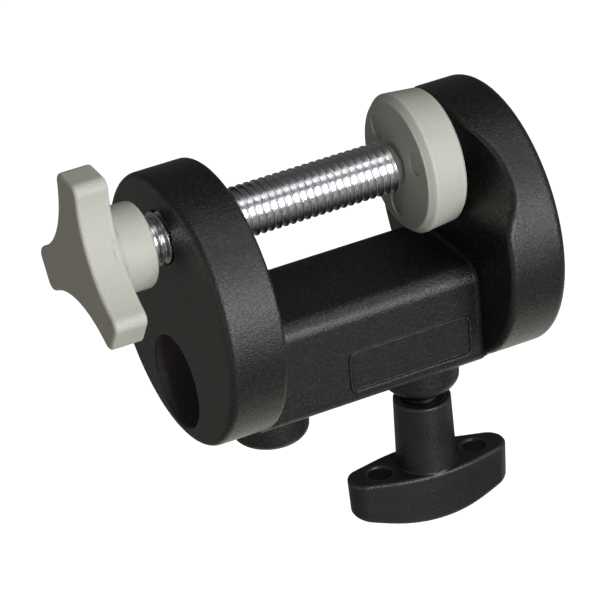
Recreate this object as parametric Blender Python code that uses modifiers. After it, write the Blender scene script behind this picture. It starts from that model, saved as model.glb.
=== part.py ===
"""Mini tube clamp with a 16 mm (5/8 in.) spigot socket, as an assembly of separate pieces.

Frame: origin at the centre of the flange disc's outer face, +X towards the jaw along the
clamp screw and the spigot socket, +Z up from the socket to the clamp screw, metres.
"""
import math

import bmesh
import bpy
from mathutils import Matrix, Vector

MM = 0.001
GAP = 0.3 * MM                       # running gap between neighbouring pieces
OVER = 1.0 * MM                      # how far a cutter or a buried end runs past a face

# ---- driving dimensions: casting ----
DISC_R = 26.1 * MM                   # flange disc and jaw disc
FLANGE_T = 11.2 * MM                 # flange disc thickness
BODY_L = 69.0 * MM                   # over both discs
JAW_X = 57.4 * MM                    # inner face of the jaw disc
EDGE_R = 1.4 * MM                    # round on the disc rims
SCREW_Z = 15.4 * MM                  # clamp screw axis, above the disc centre
SOCKET_Z = -15.0 * MM                # socket axis, below it
SOCKET_R = 8.1 * MM                  # socket for a 15.9 mm spigot
SOCKET_MOUTH_R = 8.85 * MM           # the bore is drafted open to this at each mouth
SOCKET_DRAFT_L = 24.0 * MM           # length of the draft
SOCKET_LIP = 0.65 * MM               # chamfer round each mouth
BRIDGE_HALF_Y = 12.2 * MM
BRIDGE_TOP_Z = -4.05 * MM
BRIDGE_LOW_Z = -24.75 * MM
BRIDGE_TOP_R = 3.2 * MM
BRIDGE_LOW_R = 2.3 * MM
BRIDGE_ROOT = 0.5 * MM               # how far the bridge runs into each disc
BOSS_R = 7.55 * MM
BOSS_LOW_Z = -32.6 * MM
BOSS_EDGE_R = 2.4 * MM
BOSS_ROOT = 3.0 * MM                 # how far each boss runs up into the bridge
SCREW_HOLE_LEAD = 0.8 * MM           # chamfer at both ends of the clamp screw hole
LOCK_X = 50.1 * MM                   # axis of the spigot lock screw
CATCH_X = 17.8 * MM                  # axis of the spring catch in the twin boss
GROOVE_Z = 16.8 * MM                 # middle of the V groove across the jaw
GROOVE_HALF_W = 8.2 * MM
GROOVE_FLANK = math.radians(35.0)
GROOVE_ROOT_R = 6.0 * MM
GROOVE_LIP_R = 1.6 * MM
PLATE_X = (29.5 * MM, 55.4 * MM)     # blank name plate frame on the bridge front
PLATE_Z = (-22.0 * MM, -13.2 * MM)
PLATE_CORNER_R = 1.6 * MM
PLATE_RIB = 0.6 * MM
PLATE_PROUD = 0.35 * MM

# ---- driving dimensions: clamp screw M10 x 1.5, knob and pad ----
SCREW_R = 5.0 * MM
SCREW_CHAMFER = 0.9 * MM
SCREW_TIP_R = 0.6 * MM
SCREW_HUB_X = -3.8 * MM              # where the thread leaves the knob hub
SCREW_END_X = 47.9 * MM              # chamfered end of the thread
SCREW_HEAD_X = (-15.4 * MM, -10.4 * MM)
SCREW_HEAD_R = 6.9 * MM              # over the corners of the moulded-in hexagon head
NECK_R = 2.3 * MM
COLLAR_R = 3.6 * MM
COLLAR_X = (51.5 * MM, 53.4 * MM)
KNOB_FACE_X = -17.2 * MM
KNOB_ARM_T = 6.6 * MM
KNOB_LOBE_R = 17.3 * MM
KNOB_LOBE_HALF_W = 4.3 * MM
KNOB_LOBE_CORNER_R = 2.0 * MM
KNOB_VALLEY_R = 21.0 * MM            # radius of the hollows between the lobes
KNOB_HUB_R = 8.2 * MM
KNOB_HUB_EDGE_R = 1.0 * MM
KNOB_BEVEL = 0.7 * MM
KNOB_TURN = math.radians(92.0)       # first lobe, from +Y towards +Z
PAD_R = 13.5 * MM                    # at the back of the rim
PAD_FRONT_R = 12.8 * MM              # at the front of the rim, which has draft
PAD_BACK_R = 12.3 * MM               # flat of the back, inside its bevel
PAD_BACK_X = 48.4 * MM
PAD_FACE_X = 56.6 * MM
PAD_BEVEL_X = (1.3 * MM, 0.6 * MM)   # back and front bevels of the rim, along the axis
PAD_POCKET_R = 6.0 * MM              # room for the tip's collar and the thrust disc
PAD_RING_X = (49.8 * MM, 51.3 * MM)  # room for the ring
PAD_COVER_R = 9.4 * MM
PAD_COVER_T = 1.8 * MM
PAD_PIVOT_X = 52.4 * MM
PAD_DIMPLE_AT = 8.5 * MM             # moulding dimples round the back of the pad
PAD_DIMPLE_R = 2.3 * MM
PAD_DIMPLE_DEPTH = 0.35 * MM
PAD_DIMPLE_TURN = math.radians(36.0)
PAD_SAG = 0.4 * MM                   # the pad hangs loose on the neck of the screw
RING_R = 3.45 * MM                   # middle of the ring that keeps the pad on
RING_WIRE_R = 0.45 * MM
RING_AT_X = 50.6 * MM
THRUST_R = 4.6 * MM
THRUST_X = (53.7 * MM, 54.4 * MM)

# ---- driving dimensions: spigot lock screw M8 x 1.25 and its T-handle ----
STUD_R = 4.0 * MM
STUD_TOP_Z = -24.45 * MM
STUD_CHAMFER = 0.7 * MM
STUD_HEX_Z = (-55.4 * MM, -51.4 * MM)
STUD_HEX_R = 5.2 * MM
HUB_TOP_Z = -35.25 * MM
HUB_R_TOP = 5.6 * MM
HUB_R_LOW = 5.9 * MM
WING_TOP_Z = -49.75 * MM
WING_LOW_Z = -60.2 * MM
WING_HULL_R = 51.3 * MM              # sweep of the underside
WING_HALF_L = 16.5 * MM
WING_HALF_W = 6.2 * MM
WING_END_HALF_W = 2.8 * MM
WING_END_R = 2.5 * MM
WING_FLANK = math.radians(16.0)      # taper of the sides towards the ends
WING_TURN = math.radians(-4.0)
WING_DIMPLE_AT = 10.0 * MM           # moulding dimples either side of the hub
WING_DIMPLE_R = 2.4 * MM
WING_DIMPLE_DEPTH = 0.5 * MM
HUB_EDGE_R = 0.3 * MM
HUB_ROOT = 2.0 * MM                  # how far the hub runs down into the wing
SHOE_HEAD_R = 3.1 * MM
SHOE_HEAD_T = 0.9 * MM
SHOE_EDGE_R = 0.4 * MM
SHOE_STEM_R = 1.9 * MM
SHOE_STEM_L = 3.6 * MM

# ---- driving dimensions: spring catch in the twin boss ----
CATCH_TIP_Z = -21.6 * MM
CATCH_PIN_R = 2.3 * MM
CATCH_DOME_R = 2.2 * MM
CATCH_HEAD_R = 3.6 * MM
CATCH_HEAD_Z = (-27.1 * MM, -26.2 * MM)
CATCH_STEP_Z = -25.9 * MM
PLUG_TOP_Z = -30.6 * MM
PLUG_KEY_R = 2.3 * MM
PLUG_KEY_DEPTH = 0.9 * MM
PLUG_SUNK = 0.2 * MM                 # inside the foot of the boss
PLUG_CHAMFER = 0.4 * MM
SPRING_TURNS = 2.5
SPRING_WIRE_R = 0.25 * MM
SPRING_COIL_R = 2.7 * MM

ROUND_STEPS = 64                     # segments round a large turned piece
SMALL_STEPS = 40                     # segments round a small turned piece
FILLET_STEPS = 4                     # segments along a rounded corner
HULL_STEPS = 12                      # segments along the underside of the wing
DIMPLE_STEPS = 24


# ------------------------------------------------------------------ scene helpers
def clear_scene():
    for obj in list(bpy.data.objects):
        bpy.data.objects.remove(obj, do_unlink=True)


def new_collection(name):
    coll = bpy.data.collections.new(name)
    bpy.context.scene.collection.children.link(coll)
    return coll


def principled(name, colour, roughness, metallic):
    mat = bpy.data.materials.new(name)
    mat.use_nodes = True
    shader = mat.node_tree.nodes["Principled BSDF"]
    shader.inputs["Base Color"].default_value = (*colour, 1.0)
    shader.inputs["Roughness"].default_value = roughness
    shader.inputs["Metallic"].default_value = metallic
    return mat


def link(name, data, collection):
    obj = bpy.data.objects.new(name, data)
    collection.objects.link(obj)
    return obj


def finish_part(obj, mat):
    """Give a visible piece its material and smooth shading."""
    obj.data.materials.clear()
    obj.data.materials.append(mat)
    obj.data.shade_smooth()
    obj.data.set_sharp_from_angle(angle=math.radians(35.0))
    return obj


def as_cutter(obj):
    obj.hide_render = True
    obj.display_type = "WIRE"
    return obj


def boolean(obj, cutter, operation):
    mod = obj.modifiers.new(operation.title() + "_" + cutter.name, "BOOLEAN")
    mod.operation = operation
    mod.solver = "EXACT"
    mod.object = cutter


def boolean_group(obj, name, cutters, operation):
    """One Boolean with several cutters at once, kept together in a collection of their own."""
    group = bpy.data.collections.new(name)
    cutters[0].users_collection[0].children.link(group)
    for cutter in cutters:
        cutter.users_collection[0].objects.unlink(cutter)
        group.objects.link(as_cutter(cutter))
    mod = obj.modifiers.new(name, "BOOLEAN")
    mod.operation = operation
    mod.solver = "EXACT"
    mod.operand_type = "COLLECTION"
    mod.collection = group


def cut(obj, *cutters):
    for cutter in cutters:
        boolean(obj, cutter, "DIFFERENCE")


def fuse(obj, *others):
    for other in others:
        boolean(obj, other, "UNION")


# ------------------------------------------------------------------ shape helpers
def rounded_path(corners, closed):
    """Points along a path of (u, v, radius) corners, each corner turned into an arc."""
    count = len(corners)
    points = []
    for i, (u, v, radius) in enumerate(corners):
        here = Vector((u, v))
        is_end = not closed and i in (0, count - 1)
        if radius <= 0.0 or is_end:
            points.append(here)
            continue
        back = (Vector(corners[i - 1][:2]) - here).normalized()
        ahead = (Vector(corners[(i + 1) % count][:2]) - here).normalized()
        half = back.angle(ahead) / 2.0
        centre = here + (back + ahead).normalized() * (radius / math.sin(half))
        start = here + back * (radius / math.tan(half)) - centre
        sweep = math.pi - 2.0 * half
        turn = 1.0 if back.cross(ahead) < 0.0 else -1.0
        for step in range(FILLET_STEPS + 1):
            angle = turn * sweep * step / FILLET_STEPS
            spun = Matrix.Rotation(angle, 2) @ start
            points.append(centre + spun)
    return points


def turned(name, corners, collection, axis, at, steps=ROUND_STEPS, closed=False):
    """Turn a profile of (radius, height, corner radius), listed top to bottom, about an axis."""
    points = rounded_path(corners, closed)
    mesh = bpy.data.meshes.new(name)
    verts = [(p.x, 0.0, p.y) for p in points]
    edges = [(i, i + 1) for i in range(len(verts) - 1)]
    if closed:
        edges.append((len(verts) - 1, 0))
    mesh.from_pydata(verts, edges, [])
    obj = link(name, mesh, collection)
    screw = obj.modifiers.new("Turn", "SCREW")
    screw.axis = "Z"
    screw.angle = math.tau
    screw.steps = steps
    screw.render_steps = steps
    screw.use_merge_vertices = True
    screw.merge_threshold = 0.000001
    obj.rotation_euler = Vector((0, 0, 1)).rotation_difference(Vector(axis)).to_euler()
    obj.location = at
    return obj


def extruded(name, outline, collection, thickness, matrix):
    """A flat outline in its own XY plane, thickened both ways, as a mesh placed by a matrix."""
    curve = bpy.data.curves.new(name + "_outline", "CURVE")
    curve.dimensions = "2D"
    curve.fill_mode = "BOTH"
    curve.extrude = thickness / 2.0
    spline = curve.splines.new("POLY")
    spline.points.add(len(outline) - 1)
    for point, (u, v) in zip(spline.points, outline):
        point.co = (u, v, 0.0, 1.0)
    spline.use_cyclic_u = True
    guide = link(name + "_guide", curve, collection)
    return mesh_from_curve(guide, name, collection, matrix)


def mesh_from_curve(guide, name, collection, matrix):
    """Swap a curve object for a welded mesh object of the same shape."""
    bpy.context.view_layer.update()
    evaluated = guide.evaluated_get(bpy.context.evaluated_depsgraph_get())
    mesh = bpy.data.meshes.new_from_object(evaluated)
    bpy.data.objects.remove(guide, do_unlink=True)
    bm = bmesh.new()
    bm.from_mesh(mesh)
    bmesh.ops.remove_doubles(bm, verts=bm.verts, dist=0.000001)
    bmesh.ops.recalc_face_normals(bm, faces=bm.faces)
    bm.to_mesh(mesh)
    bm.free()
    obj = link(name, mesh, collection)
    obj.matrix_world = matrix
    return obj


def prism(name, sides, corner_r, span, collection, axis, at):
    """A regular prism whose corners lie at corner_r, spanning span along its axis."""
    bm = bmesh.new()
    depth = span[1] - span[0]
    bmesh.ops.create_cone(bm, cap_ends=True, segments=sides, radius1=corner_r,
                          radius2=corner_r, depth=depth)
    mesh = bpy.data.meshes.new(name)
    bm.to_mesh(mesh)
    bm.free()
    obj = link(name, mesh, collection)
    along = Vector(axis)
    obj.rotation_euler = Vector((0, 0, 1)).rotation_difference(along).to_euler()
    obj.location = Vector(at) + along * (span[0] + span[1]) / 2.0
    return obj


def across_x(x):
    """Places an outline's (u, v) in the YZ plane at x, with u along +Y and v along +Z."""
    return Matrix(((0, 0, 1, x), (1, 0, 0, 0), (0, 1, 0, 0), (0, 0, 0, 1)))


def across_y(y):
    """Places an outline's (u, v) in the XZ plane at y, with u along +X and v along +Z."""
    return Matrix(((1, 0, 0, 0), (0, 0, -1, y), (0, 1, 0, 0), (0, 0, 0, 1)))


X_AXIS = (1, 0, 0)
Z_AXIS = (0, 0, 1)
SCREW_LINE = (0, 0, SCREW_Z)         # a point on the clamp screw's axis
PAD_LINE = (0, 0, SCREW_Z - PAD_SAG)  # a point on the pad's axis
SOCKET_LINE = (0, 0, SOCKET_Z)       # a point on the socket's axis


# ------------------------------------------------------------------ casting
def disc(name, near_x, far_x, collection):
    corners = [(0, far_x, 0), (DISC_R, far_x, EDGE_R), (DISC_R, near_x, EDGE_R), (0, near_x, 0)]
    return turned(name, corners, collection, X_AXIS, (0, 0, 0))


def bridge(collection):
    """Bar of the casting that carries the socket between the discs."""
    start, end = FLANGE_T - BRIDGE_ROOT, JAW_X + BRIDGE_ROOT
    half = BRIDGE_HALF_Y
    corners = [(-half, BRIDGE_LOW_Z, BRIDGE_LOW_R), (half, BRIDGE_LOW_Z, BRIDGE_LOW_R),
               (half, BRIDGE_TOP_Z, BRIDGE_TOP_R), (-half, BRIDGE_TOP_Z, BRIDGE_TOP_R)]
    place = across_x((start + end) / 2.0)
    return extruded("bridge", rounded_path(corners, True), collection, end - start, place)


def boss(name, x, collection):
    root_z = BRIDGE_LOW_Z + BOSS_ROOT
    corners = [(0, root_z, 0), (BOSS_R, root_z, 0), (BOSS_R, BOSS_LOW_Z, BOSS_EDGE_R),
               (0, BOSS_LOW_Z, 0)]
    return turned(name, corners, collection, Z_AXIS, (x, 0, 0), SMALL_STEPS)


def socket_cutter(collection):
    """Bore through both discs, drafted open and chamfered at each mouth."""
    lip_r = SOCKET_MOUTH_R + SOCKET_LIP
    near = [(SOCKET_R, SOCKET_DRAFT_L, 0), (SOCKET_MOUTH_R, SOCKET_LIP, 0),
            (lip_r + OVER, -OVER, 0), (0, -OVER, 0)]
    far = [(radius, BODY_L - x, 0) for radius, x, _ in reversed(near)]
    return turned("socket_cut", far + near, collection, X_AXIS, SOCKET_LINE)


def groove_cutter(collection):
    """V groove across the jaw face, with a round root and round lips."""
    depth = GROOVE_HALF_W * math.tan(GROOVE_FLANK)
    front = JAW_X - 2.0 * OVER
    reach = GROOVE_HALF_W + 4.0 * OVER
    corners = [(front, GROOVE_Z + reach, 0), (front, GROOVE_Z - reach, 0),
               (JAW_X, GROOVE_Z - reach, 0), (JAW_X, GROOVE_Z - GROOVE_HALF_W, GROOVE_LIP_R),
               (JAW_X + depth, GROOVE_Z, GROOVE_ROOT_R),
               (JAW_X, GROOVE_Z + GROOVE_HALF_W, GROOVE_LIP_R), (JAW_X, GROOVE_Z + reach, 0)]
    outline = rounded_path(corners, True)
    return extruded("groove_cut", outline, collection, 4.0 * DISC_R, across_y(0.0))


def plate_frame(collection):
    """Raised rim of the blank name plate on the bridge's front face."""
    thickness = OVER + PLATE_PROUD
    place = across_y(-BRIDGE_HALF_Y - PLATE_PROUD + thickness / 2.0)
    (x0, x1), (z0, z1) = PLATE_X, PLATE_Z
    rim = [(x0, z0, PLATE_CORNER_R), (x1, z0, PLATE_CORNER_R), (x1, z1, PLATE_CORNER_R),
           (x0, z1, PLATE_CORNER_R)]
    inner_r = PLATE_CORNER_R - PLATE_RIB
    x0, x1, z0, z1 = x0 + PLATE_RIB, x1 - PLATE_RIB, z0 + PLATE_RIB, z1 - PLATE_RIB
    field = [(x0, z0, inner_r), (x1, z0, inner_r), (x1, z1, inner_r), (x0, z1, inner_r)]
    frame = extruded("plate_rim", rounded_path(rim, True), collection, thickness, place)
    window = extruded("plate_window", rounded_path(field, True), collection,
                      3.0 * thickness, place)
    cut(frame, as_cutter(window))
    return frame


def make_body(parts, cutters):
    """Die-cast body: flange disc, bridge, jaw disc and two bosses in one piece."""
    body = disc("clamp_body", 0.0, FLANGE_T, parts)
    jaw = disc("jaw_disc", JAW_X, BODY_L, cutters)
    cut(jaw, as_cutter(groove_cutter(cutters)))
    boolean_group(body, "body_solids", [
        bridge(cutters), jaw, boss("lock_boss", LOCK_X, cutters),
        boss("catch_boss", CATCH_X, cutters), plate_frame(cutters)], "UNION")

    hole_r = SCREW_R + GAP
    lead = SCREW_HOLE_LEAD
    screw_hole = turned("screw_hole_cut", [
        (0, FLANGE_T + OVER, 0), (hole_r + lead + OVER, FLANGE_T + OVER, 0),
        (hole_r, FLANGE_T - lead, 0), (hole_r, lead, 0),
        (hole_r + lead + OVER, -OVER, 0), (0, -OVER, 0)],
        cutters, X_AXIS, SCREW_LINE, SMALL_STEPS)
    tapped_r = STUD_R + GAP
    low_z = BOSS_LOW_Z - OVER
    lock_hole = turned("lock_hole_cut", [
        (0, SOCKET_Z, 0), (tapped_r, SOCKET_Z, 0), (tapped_r, low_z, 0), (0, low_z, 0)],
        cutters, Z_AXIS, (LOCK_X, 0, 0), SMALL_STEPS)
    pin_r = CATCH_PIN_R + GAP
    catch_hole = turned("catch_hole_cut", [
        (0, SOCKET_Z, 0), (pin_r, SOCKET_Z, 0), (pin_r, CATCH_STEP_Z, 0),
        (tapped_r, CATCH_STEP_Z, 0), (tapped_r, low_z, 0), (0, low_z, 0)],
        cutters, Z_AXIS, (CATCH_X, 0, 0), SMALL_STEPS)
    boolean_group(body, "body_holes", [
        screw_hole, socket_cutter(cutters), lock_hole, catch_hole], "DIFFERENCE")
    return finish_part(body, principled("clamp_body", (0.012, 0.012, 0.013), 0.45, 0.0))


# ------------------------------------------------------------------ clamp screw group
def make_clamp_screw(parts, cutters):
    """Threaded spindle: hexagon head moulded into the knob, necked tip inside the pad."""
    end_r = SCREW_R - SCREW_CHAMFER
    head_x = SCREW_HEAD_X[1] - OVER
    corners = [
        (0, COLLAR_X[1], 0), (COLLAR_R, COLLAR_X[1], SCREW_TIP_R), (COLLAR_R, COLLAR_X[0], 0),
        (NECK_R, COLLAR_X[0], 0), (NECK_R, SCREW_END_X, 0), (end_r, SCREW_END_X, 0),
        (SCREW_R, SCREW_END_X - SCREW_CHAMFER, 0), (SCREW_R, head_x, 0), (0, head_x, 0)]
    screw = turned("clamp_screw", corners, parts, X_AXIS, SCREW_LINE, SMALL_STEPS)
    head = prism("screw_head", 6, SCREW_HEAD_R, SCREW_HEAD_X, cutters, X_AXIS, SCREW_LINE)
    fuse(screw, as_cutter(head))
    return finish_part(screw, principled("clamp_screw", (0.78, 0.79, 0.80), 0.22, 1.0))


def knob_outline():
    """Three square-ended lobes joined by hollows, as an outline about the screw's axis."""
    half_w = KNOB_LOBE_HALF_W
    valley = half_w / math.sin(math.pi / 3.0)
    corners = []
    for lobe in range(3):
        angle = KNOB_TURN + lobe * math.tau / 3.0
        out, side = Vector((math.cos(angle), math.sin(angle))), Vector(
            (-math.sin(angle), math.cos(angle)))
        low = out * KNOB_LOBE_R - side * half_w
        high = out * KNOB_LOBE_R + side * half_w
        between = Vector((math.cos(angle + math.pi / 3.0), math.sin(angle + math.pi / 3.0)))
        notch = between * valley
        corners += [(low.x, low.y, KNOB_LOBE_CORNER_R), (high.x, high.y, KNOB_LOBE_CORNER_R),
                    (notch.x, notch.y, KNOB_VALLEY_R)]
    return rounded_path(corners, True)


def make_clamp_knob(parts, cutters):
    """Moulded knob: a three-lobed grip plate on a round hub, over the screw's head."""
    plate_x = KNOB_FACE_X + KNOB_ARM_T / 2.0
    place = Matrix.Translation(SCREW_LINE) @ across_x(plate_x)
    knob = extruded("clamp_knob", knob_outline(), parts, KNOB_ARM_T, place)
    edges = knob.modifiers.new("Edges", "BEVEL")
    edges.width = KNOB_BEVEL
    edges.segments = 2
    edges.limit_method = "ANGLE"
    edges.angle_limit = math.radians(60.0)
    hub = turned("knob_hub", [
        (0, SCREW_HUB_X, 0), (KNOB_HUB_R, SCREW_HUB_X, KNOB_HUB_EDGE_R),
        (KNOB_HUB_R, plate_x, 0), (0, plate_x, 0)], cutters, X_AXIS, SCREW_LINE, SMALL_STEPS)
    fuse(knob, as_cutter(hub))
    shank_hole = turned("knob_shank_cut", [
        (0, SCREW_HUB_X + OVER, 0), (SCREW_R + GAP, SCREW_HUB_X + OVER, 0),
        (SCREW_R + GAP, SCREW_HEAD_X[0], 0), (0, SCREW_HEAD_X[0], 0)],
        cutters, X_AXIS, SCREW_LINE, SMALL_STEPS)
    head_span = (SCREW_HEAD_X[0] - GAP, SCREW_HEAD_X[1] + GAP)
    pocket = prism("knob_head_cut", 6, SCREW_HEAD_R + GAP / math.cos(math.pi / 6.0),
                   head_span, cutters, X_AXIS, SCREW_LINE)
    cut(knob, as_cutter(shank_hole), as_cutter(pocket))
    return finish_part(knob, principled("clamp_knob", (0.40, 0.39, 0.36), 0.5, 0.0))


def make_pad(parts, cutters):
    """Pressure pad shell: open at the back for the neck, pocketed at the front."""
    bevel_back, bevel_front = PAD_BEVEL_X
    face_r = PAD_FRONT_R - bevel_front
    ring_back, ring_front = PAD_RING_X
    seat_x = PAD_FACE_X - PAD_COVER_T - GAP
    ring_r = RING_R + RING_WIRE_R + GAP
    hole_r = NECK_R + PAD_SAG + GAP
    corners = [
        (PAD_COVER_R + GAP, PAD_FACE_X, 0), (face_r, PAD_FACE_X, 0),
        (PAD_FRONT_R, PAD_FACE_X - bevel_front, 0), (PAD_R, PAD_BACK_X + bevel_back, 0),
        (PAD_BACK_R, PAD_BACK_X, 0), (hole_r, PAD_BACK_X, 0), (hole_r, ring_back, 0),
        (ring_r, ring_back, 0), (ring_r, ring_front, 0), (PAD_POCKET_R, ring_front, 0),
        (PAD_POCKET_R, seat_x, 0), (PAD_COVER_R + GAP, seat_x, 0)]
    pad = turned("pad_shell", corners, parts, X_AXIS, PAD_LINE, closed=True)
    for i in range(3):
        angle = PAD_DIMPLE_TURN + i * math.tau / 3.0
        away = PAD_DIMPLE_AT * Vector((0.0, math.cos(angle), math.sin(angle)))
        spot = Vector(PAD_LINE) + away
        span = (PAD_BACK_X - OVER, PAD_BACK_X + PAD_DIMPLE_DEPTH)
        dimple = prism("pad_dimple_cut_%d" % (i + 1), DIMPLE_STEPS, PAD_DIMPLE_R, span,
                       cutters, X_AXIS, spot)
        cut(pad, as_cutter(dimple))
    return finish_part(pad, principled("pad_shell", (0.40, 0.39, 0.36), 0.5, 0.0))


def make_pad_cover(parts):
    """Disc that closes the front of the pad and makes its clamping face."""
    back_x = PAD_FACE_X - PAD_COVER_T
    corners = [(0, PAD_FACE_X, 0), (PAD_COVER_R, PAD_FACE_X, 0), (PAD_COVER_R, back_x, 0),
               (0, back_x, 0)]
    cover = turned("pad_cover", corners, parts, X_AXIS, PAD_LINE)
    return finish_part(cover, principled("pad_cover", (0.38, 0.37, 0.35), 0.55, 0.0))


def make_thrust_disc(parts):
    """Hardened disc that the tip of the screw bears on."""
    back_x, front_x = THRUST_X
    corners = [(0, front_x, 0), (THRUST_R, front_x, 0), (THRUST_R, back_x, 0), (0, back_x, 0)]
    disc_obj = turned("thrust_disc", corners, parts, X_AXIS, SCREW_LINE, SMALL_STEPS)
    return finish_part(disc_obj, principled("thrust_disc", (0.60, 0.60, 0.61), 0.3, 1.0))


def make_pad_ring(parts):
    """Round-wire ring behind the tip's collar, which keeps the pad on the screw."""
    bpy.ops.mesh.primitive_torus_add(major_radius=RING_R, minor_radius=RING_WIRE_R,
                                     major_segments=36, minor_segments=10,
                                     location=(RING_AT_X, 0, PAD_LINE[2]),
                                     rotation=(0, math.pi / 2.0, 0))
    ring = bpy.context.object
    ring.name = "pad_ring"
    for coll in list(ring.users_collection):
        coll.objects.unlink(ring)
    parts.objects.link(ring)
    return finish_part(ring, principled("pad_ring", (0.45, 0.45, 0.46), 0.35, 1.0))


# ------------------------------------------------------------------ spigot lock group
def make_lock_stud(parts, cutters):
    """Threaded stud: hexagon foot moulded into the handle, socketed end for the shoe."""
    point_r = STUD_R - STUD_CHAMFER
    socket_r = SHOE_STEM_R + GAP
    socket_low = STUD_TOP_Z - SHOE_STEM_L - GAP
    low_z = STUD_HEX_Z[1] - OVER
    corners = [(0, socket_low, 0), (socket_r, socket_low, 0), (socket_r, STUD_TOP_Z, 0),
               (point_r, STUD_TOP_Z, 0), (STUD_R, STUD_TOP_Z - STUD_CHAMFER, 0),
               (STUD_R, low_z, 0), (0, low_z, 0)]
    stud = turned("lock_stud", corners, parts, Z_AXIS, (LOCK_X, 0, 0), SMALL_STEPS)
    foot = prism("stud_foot", 6, STUD_HEX_R, STUD_HEX_Z, cutters, Z_AXIS, (LOCK_X, 0, 0))
    fuse(stud, as_cutter(foot))
    return finish_part(stud, principled("lock_stud", (0.09, 0.09, 0.10), 0.38, 1.0))


def make_lock_shoe(parts):
    """Brass shoe loose in the stud's end: it presses on the spigot without turning."""
    head_low = STUD_TOP_Z + GAP
    head_top = head_low + SHOE_HEAD_T
    stem_low = STUD_TOP_Z - SHOE_STEM_L
    corners = [(0, head_top, 0), (SHOE_HEAD_R, head_top, SHOE_EDGE_R), (SHOE_HEAD_R, head_low, 0),
               (SHOE_STEM_R, head_low, 0), (SHOE_STEM_R, stem_low, 0), (0, stem_low, 0)]
    shoe = turned("lock_shoe", corners, parts, Z_AXIS, (LOCK_X, 0, 0), SMALL_STEPS)
    return finish_part(shoe, principled("lock_shoe", (0.60, 0.42, 0.16), 0.35, 1.0))


def wing_plan():
    """Boat-shaped plan of the handle's wing."""
    length, end_w = WING_HALF_L, WING_END_HALF_W
    peak = end_w + length * math.tan(WING_FLANK)
    side_r = (peak - WING_HALF_W) / (1.0 / math.cos(WING_FLANK) - 1.0)
    corners = [(length, -end_w, WING_END_R), (length, end_w, WING_END_R), (0, peak, side_r),
               (-length, end_w, WING_END_R), (-length, -end_w, WING_END_R), (0, -peak, side_r)]
    return rounded_path(corners, True)


def wing_side():
    """Side view of the wing: flat on top, sagging like a hull underneath."""
    reach = WING_HALF_L + OVER
    sweep = math.asin(reach / WING_HULL_R)
    centre_z = WING_LOW_Z + WING_HULL_R
    angles = [sweep * (2.0 * i / HULL_STEPS - 1.0) for i in range(HULL_STEPS + 1)]
    hull = [(WING_HULL_R * math.sin(a), centre_z - WING_HULL_R * math.cos(a)) for a in angles]
    return [(reach, WING_TOP_Z), (-reach, WING_TOP_Z)] + hull


def make_lock_handle(parts, cutters):
    """T-handle: a hull-shaped wing under a round hub."""
    turn = Matrix.Translation((LOCK_X, 0, 0)) @ Matrix.Rotation(WING_TURN, 4, "Z")
    depth, width = WING_TOP_Z - WING_LOW_Z + OVER, WING_HALF_W + OVER
    wing = extruded("lock_handle", wing_plan(), parts, 2.0 * depth,
                    turn @ Matrix.Translation((0, 0, WING_TOP_Z)))
    side = extruded("wing_side", wing_side(), cutters, 2.0 * width, turn @ across_y(0.0))
    boolean(wing, as_cutter(side), "INTERSECT")
    low_z = WING_TOP_Z - HUB_ROOT
    hub = turned("handle_hub", [
        (0, HUB_TOP_Z, 0), (HUB_R_TOP, HUB_TOP_Z, HUB_EDGE_R), (HUB_R_LOW, WING_TOP_Z, 0),
        (HUB_R_LOW, low_z, 0), (0, low_z, 0)], cutters, Z_AXIS, (LOCK_X, 0, 0), SMALL_STEPS)
    fuse(wing, as_cutter(hub))
    hole_r = STUD_R + GAP
    hole_low = STUD_HEX_Z[0] + OVER
    stud_hole = turned("handle_stud_cut", [
        (0, HUB_TOP_Z + OVER, 0), (hole_r, HUB_TOP_Z + OVER, 0), (hole_r, hole_low, 0),
        (0, hole_low, 0)], cutters, Z_AXIS, (LOCK_X, 0, 0), SMALL_STEPS)
    span = (STUD_HEX_Z[0] - GAP, STUD_HEX_Z[1] + GAP)
    pocket = prism("handle_foot_cut", 6, STUD_HEX_R + GAP / math.cos(math.pi / 6.0), span,
                   cutters, Z_AXIS, (LOCK_X, 0, 0))
    cut(wing, as_cutter(stud_hole), as_cutter(pocket))
    for side_sign in (-1.0, 1.0):
        spot = turn @ Vector((side_sign * WING_DIMPLE_AT, 0, 0))
        span = (WING_TOP_Z - WING_DIMPLE_DEPTH, WING_TOP_Z + OVER)
        dimple = prism("wing_dimple_cut_%d" % (side_sign + 2), DIMPLE_STEPS, WING_DIMPLE_R,
                       span, cutters, Z_AXIS, spot)
        cut(wing, as_cutter(dimple))
    return finish_part(wing, principled("lock_handle", (0.014, 0.014, 0.015), 0.4, 0.0))


# ------------------------------------------------------------------ spring catch group
def make_catch_pin(parts):
    """Domed pin that drops into the spigot's groove."""
    low_z, top_z = CATCH_HEAD_Z
    corners = [(0, CATCH_TIP_Z, 0), (CATCH_PIN_R, CATCH_TIP_Z, CATCH_DOME_R), (CATCH_PIN_R, top_z, 0),
               (CATCH_HEAD_R, top_z, 0), (CATCH_HEAD_R, low_z, 0), (0, low_z, 0)]
    pin = turned("catch_pin", corners, parts, Z_AXIS, (CATCH_X, 0, 0), SMALL_STEPS)
    return finish_part(pin, principled("catch_pin", (0.60, 0.42, 0.16), 0.35, 1.0))


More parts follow.
